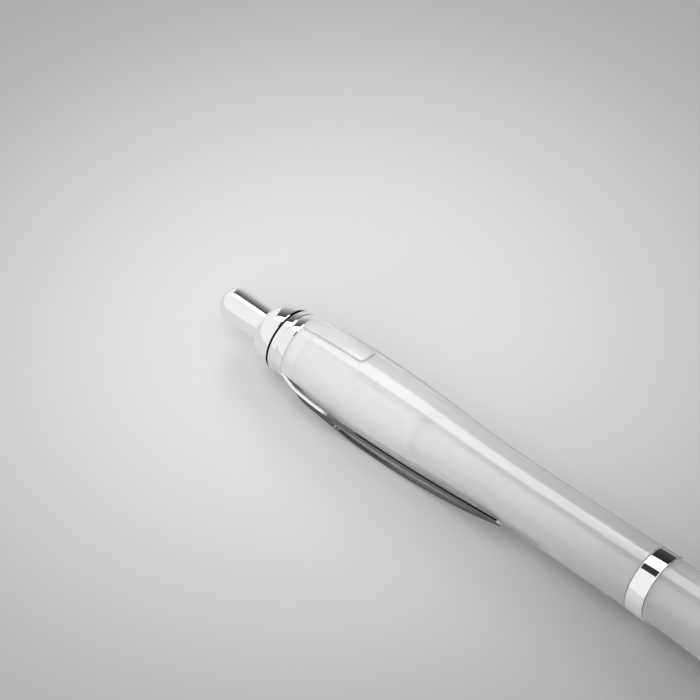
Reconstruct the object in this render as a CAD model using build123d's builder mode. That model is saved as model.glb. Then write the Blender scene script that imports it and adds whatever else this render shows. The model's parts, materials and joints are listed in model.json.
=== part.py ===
from build123d import *
import os
from math import asin, atan2, cos, degrees, hypot, pi, radians, sin, sqrt

# Push-button ballpoint pen, lying on a table with its point in. Sizes are in millimetres.
# X runs along the pen towards the writing point, Z is up and z = 0 is the table.
# Stations are measured along the pen from the tip of the push button.

# Lengths along the pen
button_exposed = 9.5  # button outside the collar while the point is in
button_dome = 2.7  # rounded end of the button
bell_length = 3.8  # bell of the collar, from its mouth to the groove
groove_width = 0.35  # groove between the bell and the clip band
band_length = 2.85  # clip band
upper_length = 64.9  # upper barrel, from the clip band to the waist ring
swell_at = 12.8  # widest place of the upper barrel, from its mouth
waist_at = 42.0  # narrowest place of the upper barrel, from its mouth
ring_length = 3.1  # waist ring
front_length = 39.5  # front barrel, from the waist ring to the nose cone
grip_at = 22.5  # widest place of the front barrel, from the waist ring
nose_length = 16.0  # nose cone outside the front barrel
press_travel = 6.0  # full press of the button
press_room = 0.3  # left between shoulders at full press
point_recess = 1.0  # writing ball behind the mouth while the point is in

# Clearances
slide_gap = 0.08  # around pieces that slide in each other
thread_gap = 0.05  # around the screwed stub
fit_gap = 0.02  # around pressed pieces
seam = 0.05  # along the pen, where two pieces meet

# Refill and return spring
refill_radius = 2.95
refill_wall = 0.3
neck_radius = 1.55
neck_wall = 0.45
tip_radius = 1.2
tip_cone = 2.3  # length of the tip's cone
ball_radius = 0.5
ball_gap = 0.03  # around the ball in its socket
socket_past = 0.17  # socket's rim beyond the middle of the ball
ink_channel = 0.25  # radius of the hole that feeds the ball
holder_pin = 4.6  # point holder inside the neck
ink_top_gap = 16.0  # empty tube above the ink
plug_head = 3.0  # refill plug outside the tube
plug_pin = 5.0  # refill plug inside the tube
plug_nib_radius = 1.8
plug_nib = 1.8  # nib that centres the plug in the rotor
plug_slot = 1.0  # width of the slots across the plug's head
plug_slot_depth = 1.5
wire_radius = 0.19
wire_sides = 6  # flats that the round wire is drawn with
spring_turns = 7
spring_pressed = 4.5  # room left for the spring at full press
spring_gap = 0.3  # between the spring and what it stands around or in

# Push button and its plunger
button_radius = 2.85
button_wall = 0.7
flange_length = 0.8  # flange that stops the button in the collar
flange_gap = 0.2
stop_depth = 2.8  # collar's stop shoulder, from its mouth
stop_gap = 0.15  # between the flange and its stop
plunger_head = 1.0  # flange of the plunger under the button
plunger_reach = 12.0  # from the plunger's flange to its crown
plunger_wall = 1.0

# Click mechanism: plunger crown, indexing rotor and grooved sleeve
core_step = 0.25  # plunger and rotor stand out from the refill by this
land_height = 0.65
sleeve_wall = 0.6
groove_count = 4
groove_cut = 1.9  # width of a groove in the sleeve
rib_gap = 0.15  # beside a rib in its groove
rib_length = 4.0  # guide ribs of the plunger
rotor_rib_length = 6.0
rib_slant = 0.7  # slope of a rotor rib's upper end
crown_depth = 1.0  # teeth of the crown and the rotor
crown_flat = 0.12  # half of the flat at a tooth's point
crown_gap = 0.3  # between the crown and the rotor
rotor_rib_back = 0.3  # rotor ribs start behind the roots of its teeth by this
land_ramp = 1.6  # height of the ramps at the lands' ends
land_ramps = 2  # ramps on each land
land_clear = 0.25  # a rotor rib passes the lands by this at full press
rotor_length = 15.45
sleeve_tail = 2.4  # sleeve beyond the rotor ribs at full press

# Collar and clip band
collar_lip = 0.32  # width of the rim at the collar's mouth
spigot_reach = 2.55  # collar's spigot inside the upper barrel
groove_depth = 0.45
band_under = 0.05  # clip band below the barrel's mouth radius
band_flare = 0.175  # clip band widens by this towards the barrel

# Walls of the barrels, waist ring and nose cone
mouth_wall = 0.8  # upper barrel at its mouth
swell_wall = 1.45  # upper barrel at its widest
refill_gap = 0.55  # refill in the front barrel
stub_wall = 0.65
stub_length = 7.4  # front barrel's stub in the upper barrel
waist_wall = 0.78
end_wall = 0.9  # upper barrel at the waist ring
ring_proud = 0.09  # waist ring beyond the upper barrel
ring_bevel = 0.25  # edges of the waist ring
front_under = 0.1  # front barrel below the upper barrel's end
nose_gap = 0.2  # refill in the nose cone
nose_wall = 0.5  # spigot of the nose cone
nose_spigot = 8.0
nose_shoulder = 0.95  # front barrel's rim around that spigot
nose_bulge = 0.5  # how far the nose cone bows out
mouth_lip = 0.5  # rim of the writing mouth
mouth_land = 2.0  # length of the writing mouth's bore
neck_gap = 0.15  # refill neck in the nose cone
spring_seat = 7.0  # from the writing mouth to the spring's seat

# Pocket clip
clip_thickness = 0.42
clip_gap = 0.63  # between the clip and the barrel's widest place
clip_half = 3.5  # half of the clip's greatest width
clip_root_half = 1.75  # half of its width at the band
clip_root = 5.4  # straight part of the clip at the band
clip_bend_at = 4.6  # end of the bend that lifts the clip, from the band
clip_bend_drop = 0.6  # the bend's end below the clip's highest place
clip_root_slope = 0.3  # rise of the clip where it leaves the band
clip_apex_at = 17.3  # highest place of the clip, from the band
clip_tip_gap = 0.1  # between the clip's tip and the barrel
clip_tip_past = 0.6  # clip beyond the barrel's waist
clip_tip_half = 1.2  # half of the clip's width at its tip
clip_rail = 1.15  # width of the rails beside the slot
slot_from = 11.2  # start of the slot, from the band
slot_end_gap = 4.6  # solid tip beyond the slot
slot_start_half = 1.5  # half of the slot's width where it starts
slot_end_half = 0.8  # half of the slot's width where it ends
slot_round = 0.5  # corners of the slot
hinge_gap = 0.1  # between the clip's root and the band
notch_gap = 0.25  # around the clip's root in the barrel
notch_past = 0.5  # notch beyond the clip's straight root
rest_gap = 0.02  # clip above the table

# Raised pad on the upper barrel
pad_length = 11.8
pad_width = 3.4
pad_raise = 0.5
pad_corner = 0.5
pad_from_clip = 124.8  # degrees round the barrel

# Stations along the pen
at_mouth = button_exposed
at_groove = at_mouth + bell_length
at_band = at_groove + groove_width
at_upper = at_band + band_length
at_ring = at_upper + upper_length
at_front = at_ring + ring_length
at_nose = at_front + front_length
pen_length = at_nose + nose_length
at_swell = at_upper + swell_at
at_waist = at_upper + waist_at
at_grip = at_front + grip_at
at_spigot_end = at_upper + spigot_reach

# Radii, from the refill outwards
core_radius = refill_radius + core_step
land_radius = core_radius + slide_gap
groove_radius = land_radius + land_height
rib_radius = groove_radius - slide_gap
sleeve_radius = groove_radius + sleeve_wall
upper_bore = sleeve_radius + fit_gap
upper_mouth_radius = upper_bore + mouth_wall
swell_radius = upper_bore + swell_wall
band_radius = upper_mouth_radius - band_under
flange_radius = groove_radius - flange_gap
stub_bore = refill_radius + refill_gap
stub_radius = stub_bore + stub_wall
thread_bore = stub_radius + thread_gap
waist_radius = thread_bore + waist_wall
end_radius = thread_bore + end_wall
ring_radius = end_radius + ring_proud
front_radius = end_radius - front_under
nose_bore = refill_radius + nose_gap
nose_spigot_radius = nose_bore + nose_wall
nose_radius = nose_spigot_radius + fit_gap + nose_shoulder
mouth_bore = tip_radius + slide_gap
mouth_radius = mouth_bore + mouth_lip

# The pen lies on its two swells and on one edge of the clip, which sets how far it has rolled
clip_radius = swell_radius + clip_gap + clip_thickness
clip_corner = hypot(clip_radius, clip_half)
clip_drop = degrees(asin((swell_radius - rest_gap) / clip_corner) - atan2(clip_half, clip_radius))
clip_angle = 180 + clip_drop
pad_angle = clip_angle - pad_from_clip
clip_reach = clip_radius * cos(radians(clip_drop)) + clip_half * sin(radians(clip_drop))

# The pen's axis is placed so that the box around the whole pen is centred on the origin
axis_y = (clip_reach - swell_radius) / 2
axis_z = swell_radius
button_end = Vector(-pen_length / 2, axis_y, axis_z)
pen_side = Plane(origin=button_end, x_dir=(1, 0, 0), z_dir=(0, -1, 0))
pen_axis = Axis(button_end, (1, 0, 0))


def outward(angle):
    # unit vector away from the pen's axis, by degrees from +Y towards +Z
    return Vector(0, cos(radians(angle)), sin(radians(angle)))


def facing(angle):
    # plane on the axis for shapes seen square on: x along the pen, z outward
    return Plane(origin=button_end, x_dir=(1, 0, 0), z_dir=outward(angle))


def edgewise(angle):
    # plane through the axis for side outlines: x along the pen, y outward
    return Plane(origin=button_end, x_dir=(1, 0, 0), z_dir=Vector(1, 0, 0).cross(outward(angle)))


def outline(plane, *points):
    # closed face with straight sides
    with BuildSketch(plane) as face:
        with BuildLine():
            Polyline(*points, close=True)
        make_face()
    return face.sketch


def halfway(start, end):
    # point where two equal arcs of an S-curve meet
    return ((start[0] + end[0]) / 2, (start[1] + end[1]) / 2)


def round_bar(start, end, radius):
    # side outline of a plain round bar between two stations
    return outline(pen_side, (start, 0), (start, radius), (end, radius), (end, 0))


def tube_wall(start, end, bore, radius):
    # side outline of a plain tube between two stations
    return outline(pen_side, (start, bore), (start, radius), (end, radius), (end, bore))


# Push button: drawn cap with a stop flange
at_stop = at_mouth + stop_depth
at_flange = at_stop + stop_gap
at_button_end = at_flange + flange_length
button_bore = button_radius - button_wall
with BuildPart() as push_button:
    with BuildSketch(pen_side):
        with BuildLine():
            TangentArc((0, 0), (button_dome, button_radius), tangent=(0, 1))
            Polyline(
                (button_dome, button_radius),
                (at_flange, button_radius),
                (at_flange, flange_radius),
                (at_button_end, flange_radius),
                (at_button_end, 0),
                (0, 0),
            )
        make_face()
    revolve(axis=pen_axis)
    revolve(round_bar(button_dome, at_button_end, button_bore), axis=pen_axis, mode=Mode.SUBTRACT)

# Plunger: pin in the button, guide ribs and a toothed crown that drives the rotor
at_head_end = at_button_end + plunger_head
at_crown = at_head_end + plunger_reach
pin_radius = button_bore - fit_gap
rib_half = groove_cut / 2 - rib_gap
tooth_half = core_radius * sin(pi / (2 * groove_count)) - crown_flat
groove_angles = [clip_angle + 360 * i / groove_count for i in range(groove_count)]
tooth_step = 180 / groove_count
with BuildPart() as plunger:
    for angle in groove_angles:
        rib = outline(
            facing(angle),
            (at_crown - crown_depth - rib_length, -rib_half),
            (at_crown - crown_depth, -rib_half),
            (at_crown - crown_depth, rib_half),
            (at_crown - crown_depth - rib_length, rib_half),
        )
        extrude(rib, amount=groove_radius)
    revolve(round_bar(at_mouth, at_crown, rib_radius), axis=pen_axis, mode=Mode.INTERSECT)
    revolve(round_bar(at_head_end, at_crown, core_radius), axis=pen_axis)
    for i in range(2 * groove_count):
        notch = outline(
            facing(clip_angle + tooth_step * i),
            (at_crown + seam, -tooth_half),
            (at_crown + seam, tooth_half),
            (at_crown - crown_depth, 0),
        )
        extrude(notch, amount=groove_radius, mode=Mode.SUBTRACT)
    revolve(round_bar(at_button_end, at_head_end, flange_radius), axis=pen_axis)
    revolve(round_bar(button_dome + seam, at_button_end, pin_radius), axis=pen_axis)
    hollow = round_bar(at_head_end + plunger_wall, at_crown + seam, core_radius - plunger_wall)
    revolve(hollow, axis=pen_axis, mode=Mode.SUBTRACT)

# Rotor: its teeth mesh with the crown and its slanted ribs ride in the sleeve's grooves
at_rotor = at_crown - crown_depth + crown_gap
at_rotor_root = at_crown + crown_gap
at_rotor_rib = at_rotor_root + rotor_rib_back
at_refill = at_rotor + rotor_length
nib_bore = plug_nib_radius + fit_gap
with BuildPart() as cam_rotor:
    for angle in groove_angles:
        rib = outline(
            facing(angle),
            (at_rotor_rib, -rib_half),
            (at_rotor_rib + rotor_rib_length, -rib_half),
            (at_rotor_rib + rotor_rib_length, rib_half),
            (at_rotor_rib + rib_slant, rib_half),
        )
        extrude(rib, amount=groove_radius)
    revolve(round_bar(at_rotor, at_refill, rib_radius), axis=pen_axis, mode=Mode.INTERSECT)
    revolve(round_bar(at_rotor, at_refill, core_radius), axis=pen_axis)
    for i in range(2 * groove_count):
        notch = outline(
            facing(clip_angle + tooth_step * (i + 0.5)),
            (at_rotor - seam, -tooth_half),
            (at_rotor - seam, tooth_half),
            (at_rotor_root, 0),
        )
        extrude(notch, amount=groove_radius, mode=Mode.SUBTRACT)
    nib_hole = round_bar(at_refill - plug_nib - seam, at_refill + seam, nib_bore)
    revolve(nib_hole, axis=pen_axis, mode=Mode.SUBTRACT)

# Cam sleeve: four grooves between lands whose ends ramp towards the next groove
at_sleeve = at_spigot_end + seam
at_land = at_head_end + press_travel + press_room
at_land_tip = at_rotor_rib + press_travel - land_clear
at_sleeve_end = at_rotor_rib + rotor_rib_length + press_travel + sleeve_tail
ramp_step = 360 / groove_count / (land_ramps + 1)
ramp_half = groove_cut / 2
with BuildPart() as cam_sleeve:
    revolve(tube_wall(at_land, at_land_tip, land_radius, sleeve_radius), axis=pen_axis)
    for angle in groove_angles:
        groove = outline(
            facing(angle),
            (at_land - seam, -groove_cut / 2),
            (at_land_tip + seam, -groove_cut / 2),
            (at_land_tip + seam, groove_cut / 2),
            (at_land - seam, groove_cut / 2),
        )
        extrude(groove, amount=sleeve_radius, mode=Mode.SUBTRACT)
        for i in range(land_ramps):
            ramp = outline(
                facing(angle + ramp_step * (i + 1)),
                (at_land_tip + seam, -ramp_half),
                (at_land_tip + seam, ramp_half),
                (at_land_tip - land_ramp, ramp_half),
                (at_land_tip, -ramp_half),
            )
            extrude(ramp, amount=sleeve_radius, mode=Mode.SUBTRACT)
    revolve(tube_wall(at_sleeve, at_sleeve_end, groove_radius, sleeve_radius), axis=pen_axis)

# Collar: bell, groove and the spigot that holds the clip band on the barrel
collar_bore = button_radius + slide_gap
collar_mouth = collar_bore + collar_lip
bell_radius = band_radius - band_flare
with BuildPart() as collar:
    with BuildSketch(pen_side):
        with BuildLine():
            EllipticalCenterArc(
                (at_groove, collar_mouth), bell_length, bell_radius - collar_mouth, 90, arc_size=90
            )
            Polyline(
                (at_groove, bell_radius),
                (at_groove, bell_radius - groove_depth),
                (at_band, bell_radius - groove_depth),
                (at_band, sleeve_radius),
                (at_spigot_end, sleeve_radius),
                (at_spigot_end, groove_radius),
                (at_stop, groove_radius),
                (at_stop, collar_bore),
                (at_mouth, collar_bore),
                (at_mouth, collar_mouth),
            )
        make_face()
    revolve(axis=pen_axis)

# Clip band: ring under the collar, from which the clip springs
with BuildPart() as clip_band:
    band_side = outline(
        pen_side,
        (at_band, upper_bore),
        (at_band, bell_radius),
        (at_upper - seam, band_radius),
        (at_upper - seam, upper_bore),
    )
    revolve(band_side, axis=pen_axis)

# Pocket clip: bowed strip with a long slot, cut to a leaf outline
at_clip = at_upper - seam + hinge_gap
at_clip_bend = at_upper + clip_bend_at
at_apex = at_upper + clip_apex_at
at_clip_end = at_waist + clip_tip_past
clip_end_radius = waist_radius + clip_tip_gap + clip_thickness
with BuildPart() as pocket_clip:
    with BuildSketch(edgewise(clip_angle)):
        with BuildLine():
            apex = (at_apex, clip_radius)
            bend = (at_clip_bend, clip_radius - clip_bend_drop)
            root = (at_clip, band_radius - band_under)
            tip = (at_clip_end, clip_end_radius)
            falling = TangentArc(apex, tip, tangent=(1, 0))
            rising = TangentArc(apex, bend, tangent=(-1, 0))
            lift = Spline(bend, root, tangents=[rising % 1, (-1, -clip_root_slope)])
            under = Vector(0, -clip_thickness)
            Line(falling @ 1, (falling @ 1) + under)
            TangentArc((falling @ 0) + under, (falling @ 1) + under, tangent=(1, 0))
            TangentArc((rising @ 0) + under, (rising @ 1) + under, tangent=(-1, 0))
            Spline((lift @ 0) + under, (lift @ 1) + under, tangents=[lift % 0, lift % 1])
            Line(lift @ 1, (lift @ 1) + under)
        make_face()
    extrude(amount=2 * clip_half, both=True)
    with BuildSketch(facing(clip_angle)):
        with BuildLine():
            broad = (at_apex, clip_half)
            straight = (at_upper + clip_root, clip_root_half)
            nib = (at_clip_end - clip_tip_half, clip_tip_half)
            Polyline((at_clip, 0), (at_clip, clip_root_half), straight)
            TangentArc(straight, halfway(straight, broad), tangent=(1, 0))
            TangentArc(broad, halfway(straight, broad), tangent=(-1, 0))
            TangentArc(broad, nib, tangent=(1, 0))
            TangentArc((at_clip_end, 0), nib, tangent=(0, 1))
            Line((at_clip, 0), (at_clip_end, 0))
        make_face()
        mirror(about=Plane.XZ)
    extrude(amount=2 * clip_radius, mode=Mode.INTERSECT)
    with BuildSketch(facing(clip_angle)) as slot:
        with BuildLine():
            window = (at_apex, clip_half - clip_rail)
            window_start = (at_upper + slot_from, slot_start_half)
            window_end = (at_clip_end - slot_end_gap, slot_end_half)
            TangentArc(window, window_start, tangent=(-1, 0))
            TangentArc(window, window_end, tangent=(1, 0))
            Polyline(window_start, (window_start[0], 0), (window_end[0], 0), window_end)
        make_face()
        mirror(about=Plane.XZ)
        fillet(slot.vertices().group_by(Axis.X)[0] + slot.vertices().group_by(Axis.X)[-1], slot_round)
    extrude(amount=2 * clip_radius, mode=Mode.SUBTRACT)

# Upper barrel: swelling tube with a step for the sleeve, a notch for the clip and a raised pad
at_step = at_sleeve_end + seam
notch_half = clip_root_half + notch_gap


def upper_side(lift):
    # side outline of the upper barrel, with its outer curve raised by lift
    with BuildSketch(pen_side) as face:
        with BuildLine():
            mouth = (at_upper, upper_mouth_radius + lift)
            swell = (at_swell, swell_radius + lift)
            waist = (at_waist, waist_radius + lift)
            end = (at_ring, end_radius + lift)
            TangentArc(swell, mouth, tangent=(-1, 0))
            TangentArc(swell, halfway(swell, waist), tangent=(1, 0))
            TangentArc(waist, halfway(swell, waist), tangent=(-1, 0))
            TangentArc(waist, end, tangent=(1, 0))
            Polyline(
                end,
                (at_ring, thread_bore),
                (at_step, thread_bore),
                (at_step, upper_bore),
                (at_upper, upper_bore),
                mouth,
            )
        make_face()
    return face.sketch


with BuildPart() as upper_barrel:
    revolve(upper_side(pad_raise), axis=pen_axis)
    with BuildSketch(facing(pad_angle)):
        with Locations((at_upper + pad_length / 2, 0)):
            RectangleRounded(pad_length, pad_width, pad_corner)
    extrude(amount=2 * swell_radius, mode=Mode.INTERSECT)
    revolve(upper_side(0), axis=pen_axis)
    clip_notch = outline(
        facing(clip_angle),
        (at_upper - seam, -notch_half),
        (at_upper + clip_root + notch_past, -notch_half),
        (at_upper + clip_root + notch_past, notch_half),
        (at_upper - seam, notch_half),
    )
    extrude(clip_notch, amount=2 * swell_radius, mode=Mode.SUBTRACT)

# Waist ring, loose on the front barrel's stub
with BuildPart() as waist_ring:
    revolve(tube_wall(at_ring + seam, at_front - seam, thread_bore, ring_radius), axis=pen_axis)
    rims = waist_ring.edges().filter_by(GeomType.CIRCLE).group_by(SortBy.RADIUS)[-1]
    chamfer(rims, ring_bevel)

# Front barrel: swelling grip with a stub that screws into the upper barrel
at_stub = at_ring - stub_length
at_nose_spigot = at_nose - nose_spigot
nose_hole = nose_spigot_radius + fit_gap
with BuildPart() as front_barrel:
    with BuildSketch(pen_side):
        with BuildLine():
            shoulder = (at_front, front_radius)
            grip = (at_grip, swell_radius)
            rim = (at_nose - seam, nose_radius)
            TangentArc(shoulder, halfway(shoulder, grip), tangent=(1, 0))
            TangentArc(grip, halfway(shoulder, grip), tangent=(-1, 0))
            TangentArc(grip, rim, tangent=(1, 0))
            Polyline(
                rim,
                (at_nose - seam, nose_hole),
                (at_nose_spigot - seam, nose_hole),
                (at_nose_spigot - seam, stub_bore),
                (at_stub, stub_bore),
                (at_stub, stub_radius),
                (at_front, stub_radius),
                shoulder,
            )
        make_face()
    revolve(axis=pen_axis)

# Refill: stations worked back from the writing mouth
at_ball = pen_length - point_recess - ball_radius
at_neck_bore_end = pen_length - mouth_land
at_neck_end = at_neck_bore_end - press_travel - press_room
at_spring_seat = pen_length - spring_seat
at_shoulder = at_spring_seat - press_travel - spring_pressed
at_tube = at_refill + plug_head
tube_bore = refill_radius - refill_wall
neck_bore = neck_radius - neck_wall

# Nose cone: ogive with a stepped bore for the refill, its spring and its tip
coil_radius = neck_radius + spring_gap + wire_radius
spring_bore = coil_radius + wire_radius + spring_gap
at_bore_step = at_shoulder + press_travel + press_room
with BuildPart() as nose_cone:
    with BuildSketch(pen_side):
        with BuildLine():
            base = (at_nose, nose_radius)
            lip = (pen_length, mouth_radius)
            SagittaArc(base, lip, nose_bulge)
            Polyline(
                lip,
                (pen_length, mouth_bore),
                (at_neck_bore_end, mouth_bore),
                (at_neck_bore_end, neck_radius + neck_gap),
                (at_spring_seat, neck_radius + neck_gap),
                (at_spring_seat, spring_bore),
                (at_bore_step, spring_bore),
                (at_bore_step, nose_bore),
                (at_nose_spigot, nose_bore),
                (at_nose_spigot, nose_spigot_radius),
                (at_nose, nose_spigot_radius),
                base,
            )
        make_face()
    revolve(axis=pen_axis)

# Refill tube with its shoulder and neck
with BuildPart() as refill_tube:
    tube_side = outline(
        pen_side,
        (at_tube, tube_bore),
        (at_tube, refill_radius),
        (at_shoulder - refill_wall, refill_radius),
        (at_shoulder, refill_radius - refill_wall),
        (at_shoulder, neck_radius),
        (at_neck_end, neck_radius),
        (at_neck_end, neck_bore),
        (at_shoulder - refill_wall, neck_bore),
        (at_shoulder - refill_wall, tube_bore),
    )
    revolve(tube_side, axis=pen_axis)

# Refill plug: slotted head, pin in the tube and a nib in the rotor
with BuildPart() as refill_plug:
    revolve(round_bar(at_refill, at_tube, refill_radius), axis=pen_axis)
    for angle in (clip_angle, clip_angle + 90):
        slot = outline(
            facing(angle),
            (at_refill - seam, -plug_slot / 2),
            (at_refill + plug_slot_depth, -plug_slot / 2),
            (at_refill + plug_slot_depth, plug_slot / 2),
            (at_refill - seam, plug_slot / 2),
        )
        extrude(slot, amount=2 * refill_radius, both=True, mode=Mode.SUBTRACT)
    revolve(round_bar(at_tube, at_tube + plug_pin, tube_bore - fit_gap), axis=pen_axis)
    revolve(round_bar(at_refill - plug_nib, at_tube, plug_nib_radius), axis=pen_axis)

# Ink column in the tube and the neck
at_holder = at_neck_end - holder_pin
at_ink_end = at_shoulder - refill_wall - seam
with BuildPart() as ink:
    revolve(round_bar(at_tube + ink_top_gap, at_ink_end, tube_bore - fit_gap), axis=pen_axis)
    revolve(round_bar(at_ink_end, at_holder - seam, neck_bore - fit_gap), axis=pen_axis)

# Point holder: pin in the neck, cone and the socket of the ball
socket_radius = ball_radius + ball_gap
socket_mouth = (at_ball + socket_past, sqrt(socket_radius**2 - socket_past**2))
socket_floor = (at_ball - sqrt(socket_radius**2 - ink_channel**2), ink_channel)
with BuildPart() as point_holder:
    with BuildSketch(pen_side):
        with BuildLine():
            Polyline(
                (at_holder, ink_channel),
                (at_holder, neck_bore - fit_gap),
                (at_neck_end + seam, neck_bore - fit_gap),
                (at_neck_end + seam, tip_radius),
                (at_ball - tip_cone, tip_radius),
                (at_ball + socket_past, socket_radius),
                socket_mouth,
            )
            ThreePointArc(socket_mouth, (at_ball - socket_past, socket_mouth[1]), socket_floor)
            Line(socket_floor, (at_holder, ink_channel))
        make_face()
    revolve(axis=pen_axis)

# Writing ball
with BuildPart() as writing_ball:
    with Locations(button_end + Vector(at_ball, 0, 0)):
        Sphere(ball_radius)

# Return spring: one wire wound round the refill's neck
spring_start = at_shoulder + wire_radius + seam
spring_end = at_spring_seat - wire_radius - seam
spring_pitch = (spring_end - spring_start) / spring_turns


def coil_point(turn):
    # place of the wire's centre after a number of turns
    around = outward(360 * turn) * coil_radius
    return button_end + Vector(spring_start + spring_pitch * turn, 0, 0) + around


def coil_heading(turn):
    # direction of the wire after a number of turns
    return (outward(360 * turn + 90) * (2 * pi * coil_radius) + Vector(spring_pitch, 0, 0)).normalized()


with BuildPart() as return_spring:
    with BuildLine() as coil:
        for i in range(2 * spring_turns):
            start, end = coil_point(i / 2), coil_point((i + 1) / 2)
            leave, arrive = coil_heading(i / 2), coil_heading((i + 1) / 2)
            chord = end - start
            both = leave + arrive
            turning = 2 * (1 - leave.dot(arrive))
            reach = (sqrt(chord.dot(both) ** 2 + turning * chord.dot(chord)) - chord.dot(both)) / turning
            middle = (start + end + (leave - arrive) * reach) * 0.5
            TangentArc(start, middle, tangent=leave)
            TangentArc(middle, end, tangent=(end - arrive * reach) - (start + leave * reach))
    with BuildSketch(Plane(origin=coil_point(0), z_dir=coil_heading(0))):
        RegularPolygon(wire_radius, wire_sides)
    sweep(path=coil.line)

samples_per_turn = 36
sample_count = samples_per_turn * spring_turns
wire_points = [coil.line @ (i / sample_count) for i in range(sample_count + 1)]
spring_gaps = [
    (wire_points[i] - wire_points[j]).length - 2 * wire_radius
    for i in range(len(wire_points))
    for j in range(i + samples_per_turn // 2, len(wire_points))
]
print(f"refill {pen_length - point_recess - at_refill:.2f} mm long, pen {pen_length:.2f} mm")
print(f"return spring: least gap to itself {min(spring_gaps):.2f} mm")
print(f"clip {clip_drop:.2f} degrees below level, pen axis at y {axis_y:.3f}, z {axis_z:.3f}")

pieces = {
    "push_button": push_button,
    "plunger": plunger,
    "collar": collar,
    "clip_band": clip_band,
    "pocket_clip": pocket_clip,
    "upper_barrel": upper_barrel,
    "cam_sleeve": cam_sleeve,
    "cam_rotor": cam_rotor,
    "refill_plug": refill_plug,
    "refill_tube": refill_tube,
    "ink": ink,
    "point_holder": point_holder,
    "writing_ball": writing_ball,
    "return_spring": return_spring,
    "waist_ring": waist_ring,
    "front_barrel": front_barrel,
    "nose_cone": nose_cone,
}
os.makedirs("parts", exist_ok=True)
for node, piece in pieces.items():
    piece.part.label = node
    export_step(piece.part, f"parts/{node}.step")
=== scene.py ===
import json
import math
import bmesh
import bpy
from mathutils import Matrix, Vector


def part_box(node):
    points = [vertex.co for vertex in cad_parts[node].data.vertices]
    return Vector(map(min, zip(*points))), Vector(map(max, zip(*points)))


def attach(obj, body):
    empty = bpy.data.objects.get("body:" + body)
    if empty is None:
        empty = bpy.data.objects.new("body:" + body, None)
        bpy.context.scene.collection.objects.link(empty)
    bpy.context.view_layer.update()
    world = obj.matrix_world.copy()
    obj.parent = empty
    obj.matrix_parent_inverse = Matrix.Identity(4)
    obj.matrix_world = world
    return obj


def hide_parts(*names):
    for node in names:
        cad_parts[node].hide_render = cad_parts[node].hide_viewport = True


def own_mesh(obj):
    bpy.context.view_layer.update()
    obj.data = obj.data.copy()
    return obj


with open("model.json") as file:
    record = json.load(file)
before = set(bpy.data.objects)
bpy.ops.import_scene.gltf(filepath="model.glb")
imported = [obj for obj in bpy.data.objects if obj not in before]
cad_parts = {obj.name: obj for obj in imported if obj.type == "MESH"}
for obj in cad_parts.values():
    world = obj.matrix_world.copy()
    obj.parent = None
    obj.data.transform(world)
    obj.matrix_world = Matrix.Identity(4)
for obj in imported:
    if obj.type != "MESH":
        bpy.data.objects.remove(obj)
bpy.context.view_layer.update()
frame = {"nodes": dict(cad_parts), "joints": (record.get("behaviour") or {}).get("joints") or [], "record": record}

mm = 0.001
alongPen = Vector((1, 0, 0))
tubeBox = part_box("refill_tube")
axisY = (tubeBox[0].y + tubeBox[1].y) / 2  # the pen's own axis, parallel to X
axisZ = (tubeBox[0].z + tubeBox[1].z) / 2
onAxis = Vector((0, axisY, axisZ))
hinges = {joint["name"]: joint for joint in frame["joints"]}
flexAxis = Vector(hinges["clip_flex"]["axis"])
clipOut = flexAxis.cross(alongPen).normalized()  # away from the axis, through the clip
clipTurn = math.atan2(clipOut.z, clipOut.y)


def startOf(node):
    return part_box(node)[0].x


def endOf(node):
    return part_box(node)[1].x


def spanOf(node):  # start, end and outer radius of a round node
    low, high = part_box(node)
    return low.x, high.x, (high.y - low.y) / 2


def placed(x, radius, turn=0.0):  # a point round the pen, turn in radians from +Y towards +Z
    return Vector((x, axisY + radius * math.cos(turn), axisZ + radius * math.sin(turn)))


def onClip(place):  # moves a flat drawing to a place, its Z pointing out through the clip
    turned = Matrix((alongPen, clipOut.cross(alongPen), clipOut)).transposed().to_4x4()
    return Matrix.Translation(place) @ turned


def fromAxis(vert):
    return (vert.co - onAxis).yz.length


def spread(first, last, steps):  # evenly spaced values, both ends among them
    return [first + (last - first) * i / steps for i in range(steps + 1)]


def bow(level, end, steps):  # circle that is level at one point and runs to the other
    dx, dy = end[0] - level[0], end[1] - level[1]
    radius = (dx * dx + dy * dy) / (2 * dy)
    turns = spread(0, 2 * math.atan(dy / dx), steps)
    return [(level[0] + radius * math.sin(a), level[1] + radius * (1 - math.cos(a))) for a in turns]


def bowBack(level, end, steps):  # the same, drawn from its far end
    return bow(level, end, steps)[::-1]


def halfway(a, b):
    return ((a[0] + b[0]) / 2, (a[1] + b[1]) / 2)


def radiusAt(curve, x):  # height of an outline at one place
    for a, b in zip(curve, curve[1:]):
        if a[0] <= x <= b[0] and b[0] > a[0]:
            return a[1] + (b[1] - a[1]) * (x - a[0]) / (b[0] - a[0])
    return curve[0][1] if x < curve[0][0] else curve[-1][1]


# turning and finishing of the pieces
turning = {"steps": 160, "from": math.pi / 2, "sharp": math.radians(32), "weld": 1e-7}


def spunMesh(outline, closed=True, steps=turning["steps"]):
    bm = bmesh.new()
    kept = []
    for point in outline:  # doubled points come from curves that meet
        if not kept or (Vector(point) - Vector(kept[-1])).length > turning["weld"]:
            kept.append(point)
    verts = [bm.verts.new(placed(x, r, turning["from"])) for x, r in kept]
    pairs = list(zip(verts, verts[1:]))
    if closed:
        pairs.append((verts[-1], verts[0]))
    edges = [bm.edges.new(pair) for pair in pairs]
    bmesh.ops.spin(
        bm, geom=verts + edges, cent=onAxis, axis=alongPen, angle=math.tau, steps=steps,
        use_merge=True,
    )
    bmesh.ops.remove_doubles(bm, verts=bm.verts, dist=turning["weld"])
    bmesh.ops.recalc_face_normals(bm, faces=bm.faces)
    return bm


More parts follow.
